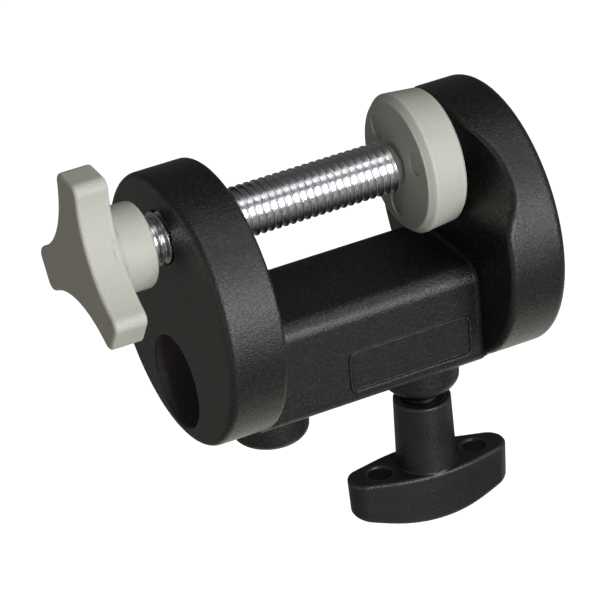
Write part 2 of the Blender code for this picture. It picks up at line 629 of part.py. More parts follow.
def make_catch_plug(parts, cutters):
    """Set screw that closes the twin boss and seats the spring."""
    low_z = BOSS_LOW_Z + PLUG_SUNK
    corners = [(0, PLUG_TOP_Z, 0), (STUD_R, PLUG_TOP_Z, 0), (STUD_R, low_z + PLUG_CHAMFER, 0),
               (STUD_R - PLUG_CHAMFER, low_z, 0), (0, low_z, 0)]
    plug = turned("catch_plug", corners, parts, Z_AXIS, (CATCH_X, 0, 0), SMALL_STEPS)
    key = prism("plug_key_cut", 6, PLUG_KEY_R, (low_z - OVER, low_z + PLUG_KEY_DEPTH), cutters,
                Z_AXIS, (CATCH_X, 0, 0))
    cut(plug, as_cutter(key))
    return finish_part(plug, principled("catch_plug", (0.06, 0.06, 0.065), 0.4, 1.0))


def make_catch_spring(parts):
    """Compression spring between the plug and the pin's head."""
    low = PLUG_TOP_Z + GAP + SPRING_WIRE_R
    high = CATCH_HEAD_Z[0] - GAP - SPRING_WIRE_R
    per_turn = 18
    count = int(SPRING_TURNS * per_turn)
    curve = bpy.data.curves.new("catch_spring", "CURVE")
    curve.dimensions = "3D"
    curve.bevel_depth = SPRING_WIRE_R
    curve.bevel_resolution = 2
    curve.use_fill_caps = True
    spline = curve.splines.new("POLY")
    spline.points.add(count)
    for i, point in enumerate(spline.points):
        angle = math.tau * i / per_turn
        z = low + (high - low) * i / count
        point.co = (SPRING_COIL_R * math.cos(angle), SPRING_COIL_R * math.sin(angle), z, 1.0)
    guide = link("catch_spring_guide", curve, parts)
    spring = mesh_from_curve(guide, "catch_spring", parts, Matrix.Translation((CATCH_X, 0, 0)))
    return finish_part(spring, principled("catch_spring", (0.5, 0.5, 0.51), 0.3, 1.0))


# ------------------------------------------------------------------ assembly
def hinge_empty(name, at, children, collection):
    """An empty on a joint's axis that carries the pieces that move with it."""
    empty = link(name, None, collection)
    empty.empty_display_size = 5.0 * MM
    empty.location = at
    bpy.context.view_layer.update()
    for child in children:
        placed = child.matrix_world.copy()
        child.parent = empty
        child.matrix_parent_inverse = empty.matrix_world.inverted()
        child.matrix_world = placed


def main():
    clear_scene()
    parts = new_collection("mini_tube_clamp")
    cutters = new_collection("cutters")

    make_body(parts, cutters)
    screw = make_clamp_screw(parts, cutters)
    knob = make_clamp_knob(parts, cutters)
    hinge_empty("clamp_screw_axis", SCREW_LINE, [screw, knob], parts)
    pad = make_pad(parts, cutters)
    cover = make_pad_cover(parts)
    disc_obj = make_thrust_disc(parts)
    ring = make_pad_ring(parts)
    hinge_empty("pad_axis", (PAD_PIVOT_X, 0, PAD_LINE[2]), [pad, cover, disc_obj, ring], parts)
    stud = make_lock_stud(parts, cutters)
    shoe = make_lock_shoe(parts)
    handle = make_lock_handle(parts, cutters)
    hinge_empty("lock_axis", (LOCK_X, 0, 0), [stud, shoe, handle], parts)
    make_catch_pin(parts)
    make_catch_plug(parts, cutters)
    make_catch_spring(parts)


main()
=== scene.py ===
"""Looks of the mini tube clamp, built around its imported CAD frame.

Shapes are worked out in millimetres and scaled to metres when they become meshes. The moulded
and cast pieces are signed-distance fields, meshed on a grid and settled onto the exact surface,
so their fillets, drafts and dimples are real geometry. Threads are real helices.
"""

import math

import bmesh
import bpy
import numpy as np
from mathutils import Matrix, Vector


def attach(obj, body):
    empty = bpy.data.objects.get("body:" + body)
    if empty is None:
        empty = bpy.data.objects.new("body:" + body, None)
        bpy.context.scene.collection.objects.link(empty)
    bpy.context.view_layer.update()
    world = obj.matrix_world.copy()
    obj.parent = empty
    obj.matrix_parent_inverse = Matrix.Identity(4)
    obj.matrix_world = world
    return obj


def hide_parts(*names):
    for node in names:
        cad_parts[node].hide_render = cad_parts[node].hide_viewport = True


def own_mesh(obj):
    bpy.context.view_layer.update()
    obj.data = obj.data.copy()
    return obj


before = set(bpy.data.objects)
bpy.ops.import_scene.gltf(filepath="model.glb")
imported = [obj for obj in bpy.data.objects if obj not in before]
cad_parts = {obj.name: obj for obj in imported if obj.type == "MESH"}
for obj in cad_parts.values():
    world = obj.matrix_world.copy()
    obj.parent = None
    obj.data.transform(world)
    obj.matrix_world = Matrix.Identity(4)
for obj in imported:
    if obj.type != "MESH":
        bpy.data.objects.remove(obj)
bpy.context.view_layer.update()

MM = 0.001

# The object's main places and sizes, in millimetres.
SCREW_Z, PAD_Z, SOCKET_Z = 15.4, 15.0, -15.0
LOCK_X, CATCH_X = 50.1, 17.8
BODY_L, DISC_R, FLANGE_T, JAW_X = 69.0, 26.1, 11.2, 57.4
BRIDGE_HALF_Y, BRIDGE_TOP_Z, BRIDGE_LOW_Z, BOSS_LOW_Z = 12.2, -4.05, -24.75, -32.6
KNOB_FACE_X, KNOB_HUB_X = -17.2, -3.8
PAD_BACK_X, PAD_FACE_X, PAD_R = 48.4, 56.6, 13.5
COVER_BACK_X, COVER_R = 54.8, 9.4
HUB_TOP_Z, WING_TOP_Z, WING_LOW_Z = -35.25, -49.75, -60.2
WING_TURN, DIMPLE_AWAY = math.radians(-4.0), 10.0
PLUG_LOW_Z, PLUG_TOP_Z, PLUG_R = -32.4, -30.6, 4.0

# The middle that the lights face and the floor's height, in metres.
OBJECT_MIDDLE, FLOOR_Z = (0.03, 0.0, -0.01), -0.30

# Rings of the two screws outside their threads, as (height, radius, is a hexagon).
SPINDLE_HEAD = [(-15.4, 6.5, True), (-15.0, 6.9, True), (-10.8, 6.9, True),
                (-10.4, 6.5, True), (-10.4, 4.1, False), (-9.6, 4.1, False)]
SPINDLE_TIP = [(47.9, 4.0, False), (47.9, 2.4, False), (48.1, 2.3, False), (51.4, 2.3, False),
               (51.5, 2.5, False), (51.5, 3.4, False), (51.7, 3.6, False), (52.8, 3.6, False),
               (53.15, 3.4, False), (53.35, 3.0, False), (53.4, 2.4, False)]
STUD_FOOT = [(-55.4, 4.9, True), (-55.1, 5.2, True), (-51.7, 5.2, True), (-51.4, 4.9, True),
             (-51.4, 3.3, False), (-50.8, 3.3, False)]
STUD_TIP = [(-24.45, 3.2, False), (-24.45, 2.4, False), (-24.6, 2.2, False),
            (-28.3, 2.2, False), (-28.35, 2.1, False)]

# Their threads, as (start, end, crest radius, pitch, chamfer).
SPINDLE_THREAD = (-9.6, 47.9, 5.0, 1.5, 0.9)
STUD_THREAD = (-50.8, -24.45, 4.0, 1.25, 0.75)

# Profiles of the turned pieces, as (height, radius, corner radius).
SHOE_PROFILE = [(-28.05, 0, 0), (-28.05, 1.9, 0.3), (-24.15, 1.9, 0.15), (-24.15, 3.1, 0.15),
                (-23.25, 3.1, 0.45), (-23.25, 0, 0)]
PIN_PROFILE = [(-27.1, 0, 0), (-27.1, 3.6, 0.15), (-26.2, 3.6, 0.15), (-26.2, 2.3, 0.05),
               (-21.6, 2.3, 2.1), (-21.6, 0, 0)]
BEARING_PROFILE = [(53.7, 0, 0), (53.7, 4.6, 0.12), (54.4, 4.6, 0.12), (54.4, 0, 0)]


# ------------------------------------------------------------------ fields
def round_max(a, b, r):
    """Where both fields are solid, with a rounded outer edge of radius r."""
    edge = np.hypot(np.maximum(a + r, 0.0), np.maximum(b + r, 0.0))
    return np.minimum(-r, np.maximum(a, b)) + edge


def round_min(a, b, r):
    """Where either field is solid, with a fillet of radius r in the corner between them."""
    return -round_max(-a, -b, r)


def span(v, low, high):
    """Inside between two values."""
    return np.maximum(low - v, v - high)


def hexagon(u, v, corner_r):
    """Inside a hexagon whose corners lie at a radius, one of them along u."""
    apothem = corner_r * math.cos(math.pi / 6.0)
    across = [np.abs(u * math.cos(a) + v * math.sin(a))
              for a in (math.pi / 6.0, math.pi / 2.0, 5.0 * math.pi / 6.0)]
    return np.maximum.reduce(across) - apothem


def body_field(x, y, z):
    """The casting: two discs, the bridge, two bosses, the plate's frame and the holes."""
    radial = np.hypot(y, z) - DISC_R
    front_edge_r, inner_edge_r, back_edge_r = 1.4, 0.7, 1.5
    flange = round_max(round_max(radial, x - FLANGE_T, inner_edge_r), -x, front_edge_r)

    groove_z, half_w, flank = 16.8, 8.2, math.radians(35.0)
    root_r, lip_r, face_edge_r = 6.0, 1.5, 1.2
    w = z - groove_z
    slopes = [(half_w - s * w) * math.sin(flank) - (x - JAW_X) * math.cos(flank)
              for s in (1.0, -1.0)]
    vee = round_min(slopes[0], slopes[1], root_r)
    jaw_face = round_max(JAW_X - x, vee, lip_r)
    jaw = round_max(round_max(radial, x - BODY_L, back_edge_r), jaw_face, face_edge_r)

    top_edge_r, low_edge_r, root = 3.2, 2.3, 0.5
    bar = round_max(np.abs(y) - BRIDGE_HALF_Y, z - BRIDGE_TOP_Z, top_edge_r)
    bar = round_max(bar, BRIDGE_LOW_Z - z, low_edge_r)
    bar = np.maximum(bar, span(x, FLANGE_T - root, JAW_X + root))
    flange_fillet, jaw_fillet = 0.6, 0.9
    solid = round_min(round_min(flange, bar, flange_fillet), jaw, jaw_fillet)

    boss_r, boss_edge_r, boss_root_z, boss_fillet = 7.5, 2.4, -20.0, 0.9
    for boss_x in (LOCK_X, CATCH_X):
        boss = round_max(np.hypot(x - boss_x, y) - boss_r, BOSS_LOW_Z - z, boss_edge_r)
        boss = np.maximum(boss, z - boss_root_z)
        solid = round_min(solid, boss, boss_fillet)

    plate_x, plate_z, plate_half_l, plate_half_h, plate_corner_r = 42.45, -17.6, 11.35, 2.8, 1.3
    plate = np.hypot(np.maximum(np.abs(x - plate_x) - plate_half_l, 0.0),
                     np.maximum(np.abs(z - plate_z) - plate_half_h, 0.0)) - plate_corner_r
    rib_half_w, rib_top_y, rib_root_y, rib_edge_r, rib_fillet = 0.36, -12.6, -11.0, 0.1, 0.12
    rib = round_max(np.abs(plate) - rib_half_w, span(y, rib_top_y, rib_root_y), rib_edge_r)
    solid = round_min(solid, rib, rib_fillet)

    bore_r, draft, draft_l, bore_lip_r = 8.1, 0.75, 24.0, 0.65
    from_end = np.minimum(x, BODY_L - x)
    bore = np.hypot(y, z - SOCKET_Z) - bore_r - draft * np.clip(1.0 - from_end / draft_l, 0.0, 1.0)
    solid = round_max(solid, -bore, bore_lip_r)
    screw_hole_r, screw_hole_end, screw_hole_lip_r = 5.08, 20.0, 0.3
    screw_hole = np.maximum(np.hypot(y, z - SCREW_Z) - screw_hole_r, x - screw_hole_end)
    solid = round_max(solid, -screw_hole, screw_hole_lip_r)
    lock_hole_r, lock_lip_r = 4.3, 0.5
    lock_hole = np.maximum(np.hypot(x - LOCK_X, y) - lock_hole_r, z - SOCKET_Z)
    pin_hole_r, plug_hole_r, step_z, catch_lip_r = 2.6, 4.3, -25.9, 0.4
    catch_hole_r = np.where(z > step_z, pin_hole_r, plug_hole_r)
    catch_hole = np.maximum(np.hypot(x - CATCH_X, y) - catch_hole_r, z - SOCKET_Z)
    solid = round_max(solid, -lock_hole, lock_lip_r)
    return round_max(solid, -catch_hole, catch_lip_r)


def knob_field(x, y, z):
    """Three arms with hollow sides between them, on a round hub."""
    lobe_r, half_w, corner, valley_r, middle_r = 17.3, 4.3, 2.0, 21.0, 7.9
    arm_t, hub_r, hub_start_x, turn = 6.6, 8.2, -11.6, math.radians(92.0)
    u0, v0 = y, z - SCREW_Z
    around = np.hypot(u0, v0)
    centre_d = (valley_r + half_w) / math.sin(math.pi / 3.0)
    tangent_u = centre_d * math.cos(math.pi / 3.0)
    lobes = []
    for i in range(3):
        a = turn + i * math.tau / 3.0
        lobes.append((u0 * math.cos(a) + v0 * math.sin(a), v0 * math.cos(a) - u0 * math.sin(a)))
    outline = around - middle_r
    for i, (u, v) in enumerate(lobes):
        lobe = np.maximum(round_max(np.abs(v) - half_w, u - lobe_r, corner), -u)
        a = turn + (i + 0.5) * math.tau / 3.0
        hollow = valley_r - np.hypot(u0 - centre_d * math.cos(a), v0 - centre_d * math.sin(a))
        next_u, next_v = lobes[(i + 1) % 3]
        web = np.maximum.reduce([hollow, u - tangent_u, next_u - tangent_u, -v, next_v])
        outline = np.minimum(outline, np.minimum(lobe, web))
    mid = KNOB_FACE_X + arm_t / 2.0
    grip_edge_r, hub_edge_r, hub_fillet = 0.75, 1.2, 0.5
    grip = round_max(outline, np.abs(x - mid) - arm_t / 2.0, grip_edge_r)
    hub = round_max(around - hub_r, x - KNOB_HUB_X, hub_edge_r)
    solid = round_min(grip, np.maximum(hub, hub_start_x - x), hub_fillet)
    shank_r, shank_end_x, shank_lip_r = 5.3, -15.4, 0.4
    shank = np.maximum(around - shank_r, shank_end_x - x)
    head_corner_r, head_low_x, head_top_x = 7.25, -15.7, -10.1
    head = np.maximum(hexagon(u0, v0, head_corner_r), span(x, head_low_x, head_top_x))
    return np.maximum(round_max(solid, -shank, shank_lip_r), -head)


def pad_field(x, y, z):
    """The round pad, tapered and bevelled, with three dimples and the screw's seat inside."""
    v = z - PAD_Z
    around = np.hypot(y, v)
    taper, taper_start = 0.7, 1.0
    rim = around - (PAD_R - taper * (x - PAD_BACK_X - taper_start)
                    / (PAD_FACE_X - PAD_BACK_X - taper_start))
    edge_r, back_flat_r, bevel_x, bevel_r = 0.1, 12.3, 1.3, 1.15
    back_bevel = (((around - back_flat_r) * bevel_x + (PAD_BACK_X - x) * bevel_r)
                  / math.hypot(bevel_x, bevel_r))
    solid = round_max(round_max(rim, PAD_BACK_X - x, edge_r), back_bevel, 0.14)
    front_flat_r = 12.2
    front_bevel = ((around - front_flat_r) + (x - PAD_FACE_X)) / math.sqrt(2.0)
    solid = round_max(round_max(solid, x - PAD_FACE_X, edge_r), front_bevel, 0.12)
    dimple_away, dimple_r, dimple_depth, dimple_turn = 8.5, 2.25, 0.38, 36.0
    for i in range(3):
        a = math.radians(dimple_turn + 120.0 * i)
        away = np.hypot(y - dimple_away * math.cos(a), v - dimple_away * math.sin(a))
        dimple = round_max(away - dimple_r, x - (PAD_BACK_X + dimple_depth), 0.12)
        solid = round_max(solid, -dimple, 0.1)
    neck_r, neck_end_x, ring_room_r, ring_low_x, ring_top_x = 3.0, 51.0, 4.2, 49.8, 51.35
    collar_room_r, collar_x, cover_room_r, cover_x = 6.0, 51.3, 9.7, 54.5
    neck = np.maximum(around - neck_r, x - neck_end_x)
    ring_room = np.maximum(around - ring_room_r, span(x, ring_low_x, ring_top_x))
    collar_room = np.maximum(around - collar_room_r, collar_x - x)
    cover_room = np.maximum(around - cover_room_r, cover_x - x)
    solid = np.maximum(round_max(solid, -neck, 0.3), -ring_room)
    return np.maximum(solid, -np.minimum(collar_room, cover_room))


def cover_field(x, y, z):
    """The disc in the pad's front, with rings moulded in its face."""
    ripple_depth, ripple_pitch, ripple_r = 0.09, 1.5, 8.6
    around = np.hypot(y, z - PAD_Z)
    solid = round_max(around - COVER_R, span(x, COVER_BACK_X, PAD_FACE_X), 0.25)
    ripple = ripple_depth * (0.5 - 0.5 * np.cos(around * math.tau / ripple_pitch))
    grip = np.maximum(around - ripple_r, PAD_FACE_X - ripple - x)
    return round_max(solid, -grip, 0.05)


def handle_field(x, y, z):
    """The T-handle: a boat-shaped wing with a round hub on top."""
    u = np.abs((x - LOCK_X) * math.cos(WING_TURN) + y * math.sin(WING_TURN))
    v = np.abs(y * math.cos(WING_TURN) - (x - LOCK_X) * math.sin(WING_TURN))
    half_l, half_w, end_w, flank = 16.5, 6.2, 2.8, math.radians(16.0)
    peak = end_w + half_l * math.tan(flank)
    side_r = (peak - half_w) / (1.0 / math.cos(flank) - 1.0)
    straight = (v - end_w - (half_l - u) * math.tan(flank)) * math.cos(flank)
    bulge = np.hypot(u, v - half_w + side_r) - side_r
    sides = np.where(u < side_r * math.sin(flank), bulge, straight)
    end_draft, side_share, end_corner_r = 0.04, 0.25, 2.5
    draft = np.clip(WING_TOP_Z - z, 0.0, 12.0) * end_draft
    plan = round_max(sides + draft * side_share, u - half_l + draft, end_corner_r)
    hull_r, hull_edge_r, top_edge_r = 51.3, 0.9, 0.55
    hull = np.hypot(u, z - WING_LOW_Z - hull_r) - hull_r
    wing = round_max(round_max(plan, hull, hull_edge_r), z - WING_TOP_Z, top_edge_r)

    around = np.hypot(x - LOCK_X, y)
    hub_top_r, hub_flare, hub_l, hub_low_z, hub_edge_r = 5.6, 0.3, 14.5, -50.1, 0.3
    hub_r = hub_top_r + hub_flare * (HUB_TOP_Z - z) / hub_l
    hub = np.maximum(round_max(around - hub_r, z - HUB_TOP_Z, hub_edge_r), hub_low_z - z)
    solid = round_min(wing, hub, 0.3)
    dimple_r, dimple_depth = 2.4, 0.5
    for side in (-1.0, 1.0):
        du = (x - LOCK_X) - side * DIMPLE_AWAY * math.cos(WING_TURN)
        dv = y - side * DIMPLE_AWAY * math.sin(WING_TURN)
        dimple = round_max(np.hypot(du, dv) - dimple_r, WING_TOP_Z - dimple_depth - z, 0.3)
        solid = round_max(solid, -dimple, 0.2)
    bore_r, bore_low_z, foot_corner_r, foot_low_z, foot_top_z = 4.12, -54.4, 5.55, -55.7, -51.1
    bore = np.maximum(around - bore_r, bore_low_z - z)
    solid = round_max(solid, -bore, 0.15)
    foot = np.maximum(hexagon(x - LOCK_X, y, foot_corner_r), span(z, foot_low_z, foot_top_z))
    return np.maximum(solid, -foot)


def plug_field(x, y, z):
    """The set screw under the catch, with a hexagon socket for its key."""
    thick, edge_r, key_corner_r, key_depth = 1.8, 0.35, 2.3, 0.9
    around = np.hypot(x - CATCH_X, y)
    solid = round_max(around - PLUG_R, PLUG_TOP_Z - thick - z, edge_r)
    solid = np.maximum(solid, z - PLUG_TOP_Z)
    key = np.maximum(hexagon(x - CATCH_X, y, key_corner_r), z - (PLUG_LOW_Z + key_depth))
    return round_max(solid, -key, 0.12)


# ------------------------------------------------------------------ meshing
def net(field, low, high, pitch):
    """Quads round a field's zero surface: one point in each grid cell that it crosses."""
    axes = [np.arange(lo - 2.0 * pitch, hi + 2.5 * pitch, pitch) for lo, hi in zip(low, high)]
    value = field(*np.meshgrid(*axes, indexing="ij"))
    inside = value < 0.0
    cells = tuple(n - 1 for n in value.shape)

    def corner(grid, offset):
        return grid[tuple(slice(o, o + n) for o, n in zip(offset, cells))]

    offsets = [(i, j, k) for i in (0, 1) for j in (0, 1) for k in (0, 1)]
    filled = sum(corner(inside, o).astype(np.int8) for o in offsets)
    active = (filled > 0) & (filled < 8)
    at = np.argwhere(active)
    ids = np.full(cells, -1, dtype=np.int64)
    ids[active] = np.arange(len(at))

    total, crossings = np.zeros((len(at), 3)), np.zeros(len(at))
    for a in offsets:
        for axis in range(3):
            if a[axis]:
                continue
            b = tuple(o + (k == axis) for k, o in enumerate(a))
            va, vb = value[tuple((at + a).T)], value[tuple((at + b).T)]
            hit = (va < 0.0) != (vb < 0.0)
            t = np.where(hit, va / np.where(hit, va - vb, 1.0), 0.0)
            point = np.array(a) + t[:, None] * (np.array(b) - np.array(a))
            total += point * hit[:, None]
            crossings += hit
    origin = np.array([axis[0] for axis in axes])
    points = origin + pitch * (at + total / crossings[:, None])

    faces = []
    for a in range(3):
        b, c = (a + 1) % 3, (a + 2) % 3
        near, far = [slice(1, -1)] * 3, [slice(1, -1)] * 3
        near[a], far[a] = slice(0, -1), slice(1, None)
        lo, hi = inside[tuple(near)], inside[tuple(far)]
        change = lo != hi
        edge = np.argwhere(change) + [0 if k == a else 1 for k in range(3)]

        def cell(db, dc):
            place = edge.copy()
            place[:, b] -= db
            place[:, c] -= dc
            return ids[tuple(place.T)]

        quad = np.stack([cell(1, 1), cell(0, 1), cell(0, 0), cell(1, 0)], axis=1)
        flip = hi[change]
        quad[flip] = quad[flip][:, ::-1]
        faces.append(quad)
    return points, np.concatenate(faces)


def slope(field, points, step=0.02):
    """The field's gradient at each point."""
    grads = []
    for k in range(3):
        shift = np.zeros(3)
        shift[k] = step
        grads.append((field(*(points + shift).T) - field(*(points - shift).T)) / (2.0 * step))
    return np.stack(grads, axis=1)


def settle(field, points, rounds=3, reach=0.25):
    """Move points onto the field's zero surface."""
    for _ in range(rounds):
        grad = slope(field, points)
        size = np.maximum((grad ** 2).sum(axis=1), 0.05)
        step = np.clip(field(*points.T) / size, -reach, reach)
        points = points - step[:, None] * grad
    return points


def relax(points, faces, amount=0.5):
    """Slide each point towards the middle of its neighbours."""
    total, count = np.zeros_like(points), np.zeros(len(points))
    for k in range(4):
        a, b = faces[:, k], faces[:, (k + 1) % 4]
        for one, other in ((a, b), (b, a)):
            for axis in range(3):
                total[:, axis] += np.bincount(one, points[other, axis], len(points))
            count += np.bincount(one, minlength=len(points))
    return points + amount * (total / count[:, None] - points)


def bend(field, points, step=0.45):
    """How convex the surface is at each point, from -1 in a corner to 1 on an edge."""
    total = -6.0 * field(*points.T)
    for k in range(3):
        shift = np.zeros(3)
        shift[k] = step
        total += field(*(points + shift).T) + field(*(points - shift).T)
    return np.clip(total / step ** 2, -1.0, 1.0)


def mesh_of(name, points, faces):
    """A mesh in metres from an array of points in millimetres and a list of faces."""
    mesh = bpy.data.meshes.new(name)
    mesh.from_pydata((points * MM).tolist(), [], faces)
    mesh.update()
    return mesh


def place(name, mesh):
    """A smooth-shaded object in the scene."""
    obj = bpy.data.objects.new(name, mesh)
    bpy.context.scene.collection.objects.link(obj)
    mesh.shade_smooth()
    return obj


def mark(mesh, name, values):
    """Store a number at each point, for the materials to read."""
    layer = mesh.attributes.new(name, "FLOAT", "POINT")
    layer.data.foreach_set("value", np.asarray(values, dtype=np.float32))


def moulded(name, field, low, high, pitch, fine=None, painted_shading_spot=None):
    """A piece from its field. fine(points) picks where it is meshed finer, and the last
    mask where its finish differs and painted light and shade go into its colour."""
    points, faces = net(field, low, high, pitch)
    for _ in range(2):
        points = settle(field, relax(points, faces))
    mesh = mesh_of(name, points, faces.tolist())
    if fine is not None:
        bm = bmesh.new()
        bm.from_mesh(mesh)
        bm.verts.ensure_lookup_table()
        chosen = fine(points)
        edges = [e for e in bm.edges if chosen[e.verts[0].index] and chosen[e.verts[1].index]]
        bmesh.ops.subdivide_edges(bm, edges=edges, cuts=3, use_grid_fill=True)
        bm.to_mesh(mesh)
        bm.free()
        flat = np.empty(len(mesh.vertices) * 3)
        mesh.vertices.foreach_get("co", flat)
        points = settle(field, flat.reshape(-1, 3) / MM, rounds=5)
        mesh.vertices.foreach_set("co", (points * MM).ravel())
        mesh.update()
    obj = place(name, mesh)
    mark(mesh, "bend", bend(field, points))
    if painted_shading_spot is not None:
        mark(mesh, "painted_shading_spot", painted_shading_spot(points))
    normals = slope(field, points)
    normals /= np.linalg.norm(normals, axis=1)[:, None]
    mesh.normals_split_custom_set_from_vertices(normals.tolist())
    return obj


# ------------------------------------------------------------------ turned and wound pieces
def pose_along(axis, at):
    """Matrix whose Z runs along an axis through a point, for pieces made about Z."""
    turn = Vector((0, 0, 1)).rotation_difference(Vector(axis)).to_matrix().to_4x4()
    return Matrix.Translation(Vector(at)) @ turn


def posed_mesh(name, points, faces, matrix):
    """A mesh made about Z and moved by a matrix that is in millimetres."""
    mesh = mesh_of(name, points, faces)
    mesh.transform(Matrix.Translation(matrix.translation * MM) @ matrix.to_3x3().to_4x4())
    mesh.update()
    return mesh


def rings_mesh(name, rings, matrix):
    """A closed mesh through rings of points (n, 3), capped at both ends."""
    steps = len(rings[0])
    points = np.concatenate(list(rings) + [[rings[0].mean(axis=0)], [rings[-1].mean(axis=0)]])
    low_cap, high_cap = len(points) - 2, len(points) - 1
    i = np.arange(steps)
    j = (i + 1) % steps
    faces = []
    for k in range(len(rings) - 1):
        a, b = k * steps, (k + 1) * steps
        faces += np.stack([a + i, a + j, b + j, b + i], axis=1).tolist()
    last = (len(rings) - 1) * steps
    faces += np.stack([np.full(steps, low_cap), j, i], axis=1).tolist()
    faces += np.stack([np.full(steps, high_cap), last + i, last + j], axis=1).tolist()
    return posed_mesh(name, points, faces, matrix)


def arc_profile(corners, steps=6):
    """Points of a (height, radius, corner radius) profile with its corners rounded."""
    points = []
    for i, (h, r, rad) in enumerate(corners):
        here = np.array((h, r), dtype=float)
        if rad <= 0.0 or i in (0, len(corners) - 1):
            points.append(here)
            continue
        back = np.array(corners[i - 1][:2]) - here
        ahead = np.array(corners[i + 1][:2]) - here
        back, ahead = back / np.hypot(*back), ahead / np.hypot(*ahead)
        half = math.acos(float(np.clip(back @ ahead, -1.0, 1.0))) / 2.0
        reach = rad / math.tan(half)
        start, end = here + back * reach, here + ahead * reach
        centre = here + (back + ahead) / np.hypot(*(back + ahead)) * rad / math.sin(half)
        for t in np.linspace(0.0, 1.0, steps + 1):
            p = (start - centre) * (1.0 - t) + (end - centre) * t
            points.append(centre + p / np.hypot(*p) * rad)
    return points


def turned(name, corners, axis, at, steps=96):
    """A lathe-turned piece from (height, radius, corner radius) corners, low end first."""
    angle = np.arange(steps) * math.tau / steps
    rings = [np.stack([r * np.cos(angle), r * np.sin(angle), np.full(steps, h)], axis=1)
             for h, r in arc_profile(corners)]
    return place(name, rings_mesh(name, rings, pose_along(axis, at)))


def ring(s, radius, steps, flats=None):
    """One ring of points about Z, round or with six flats, the first flat at an angle."""
    angle = np.arange(steps) * math.tau / steps
    if flats is not None:
        off_flat = np.mod(angle - flats + math.pi / 6.0, math.pi / 3.0) - math.pi / 6.0
        radius = radius * math.cos(math.pi / 6.0) / np.cos(off_flat)
    return np.stack([radius * np.cos(angle), radius * np.sin(angle),
                     np.full(steps, float(s))], axis=1)


def thread_profile(pitch):
    """(place in the pitch, drop below the crest) of a 60 degree thread, root to root."""
    depth, flat, soft = 0.58 * pitch, pitch / 16.0, 0.05 * pitch
    half = [(0.0, 0.0), (flat * 0.7, 0.10 * soft), (flat * 1.25, 0.75 * soft)]
    run = depth / math.sqrt(3.0)
    half += [(flat + run * k, depth * k) for k in (0.25, 0.5, 0.75, 0.92)]
    half += [(flat + run * 1.03, depth * 0.985), (pitch / 2.0, depth)]
    mirrored = [(pitch - away, drop) for away, drop in half[::-1][1:-1]]
    profile = half + mirrored
    start = len(half) - 1
    return [((away - pitch / 2.0) % pitch, drop) for away, drop in
            profile[start:] + profile[:start]]


def screw(name, below, thread, above, axis, at, steps=96, flats=0.0):
    """A screw: rings below, a helical thread whose edges follow the helix, rings above.

    Rings are (height, radius, is_hexagon), and the thread is (start, end, major, pitch,
    chamfer)."""
    start, end, major, pitch, chamfer = thread
    profile = thread_profile(pitch)
    rows_per_turn = len(profile)
    turns = int((end - start) / pitch) - 1
    angle = np.arange(steps) * math.tau / steps
    last = turns * rows_per_turn
    rows = []
    for j in range(last + 1):
        place_in, drop = profile[j % rows_per_turn]
        s = start + (j // rows_per_turn) * pitch + place_in + pitch * angle / math.tau
        cone = major - chamfer + np.clip(np.minimum(s - start, end - s), 0.0, chamfer)
        radius = np.minimum(major - drop, cone)
        rows.append(np.stack([radius * np.cos(angle), radius * np.sin(angle), s], axis=1))
    low = [ring(s, r, steps, flats if six else None) for s, r, six in below]
    high = [ring(s, r, steps, flats if six else None) for s, r, six in above]
    points = np.concatenate(low + rows + high + [[low[0].mean(axis=0)], [high[-1].mean(axis=0)]])

    def strip(first, second):
        return [[first + i, first + (i + 1) % steps, second + (i + 1) % steps, second + i]
                for i in range(steps)]

    faces = []
    for k in range(len(low) - 1):
        faces += strip(k * steps, (k + 1) * steps)
    under, sheet = (len(low) - 1) * steps, len(low) * steps
    over = sheet + (last + 1) * steps

    def on(j, i):
        return sheet + j * steps + i

    end_i = steps - 1
    for i in range(end_i):
        faces.append([under + i, under + i + 1, on(0, i + 1), on(0, i)])
        faces.append([on(last, i), on(last, i + 1), over + i + 1, over + i])
        faces += [[on(j, i), on(j, i + 1), on(j + 1, i + 1), on(j + 1, i)] for j in range(last)]
    faces.append([under + end_i, under, on(rows_per_turn, 0), on(0, end_i)])
    faces.append([on(last - rows_per_turn, end_i), on(last, 0), over, over + end_i])
    faces += [[under, on(k, 0), on(k + 1, 0)] for k in range(rows_per_turn)]
    faces += [[on(j + 1, end_i), on(j, end_i), over + end_i]
              for j in range(last - rows_per_turn, last)]
    faces += [[on(j, end_i), on(j + rows_per_turn, 0), on(j + 1 + rows_per_turn, 0),
               on(j + 1, end_i)] for j in range(last - rows_per_turn)]
    for k in range(len(high) - 1):
        faces += strip(over + k * steps, over + (k + 1) * steps)
    low_cap, high_cap = len(points) - 2, len(points) - 1
    top = over + (len(high) - 1) * steps
    faces += [[low_cap, (i + 1) % steps, i] for i in range(steps)]
    faces += [[high_cap, top + i, top + (i + 1) % steps] for i in range(steps)]
    return place(name, posed_mesh(name, points, faces, pose_along(axis, at)))


def wound(name, centres, wire_r, matrix, closed=False, sides=14):
    """A round wire along a path of points in the XY plane's frame."""
    centres = np.asarray(centres)
    if closed:
        ahead = np.roll(centres, -1, axis=0) - np.roll(centres, 1, axis=0)
    else:
        ahead = np.gradient(centres, axis=0)
    ahead /= np.linalg.norm(ahead, axis=1)[:, None]
    out = centres * [1.0, 1.0, 0.0]
    out -= (out * ahead).sum(axis=1)[:, None] * ahead
    out /= np.linalg.norm(out, axis=1)[:, None]
    side = np.cross(ahead, out)
    rings = [c + wire_r * np.array([math.cos(a) * o + math.sin(a) * s
                                    for a in np.arange(sides) * math.tau / sides])
             for c, o, s in zip(centres, out, side)]
    if not closed:
        return place(name, rings_mesh(name, rings, matrix))
    points = np.concatenate(rings)
    i = np.arange(sides)
    j = (i + 1) % sides
    faces = []
    for k in range(len(rings)):
        a, b = k * sides, (k + 1) % len(rings) * sides
        faces += np.stack([a + i, a + j, b + j, b + i], axis=1).tolist()
    return place(name, posed_mesh(name, points, faces, matrix))


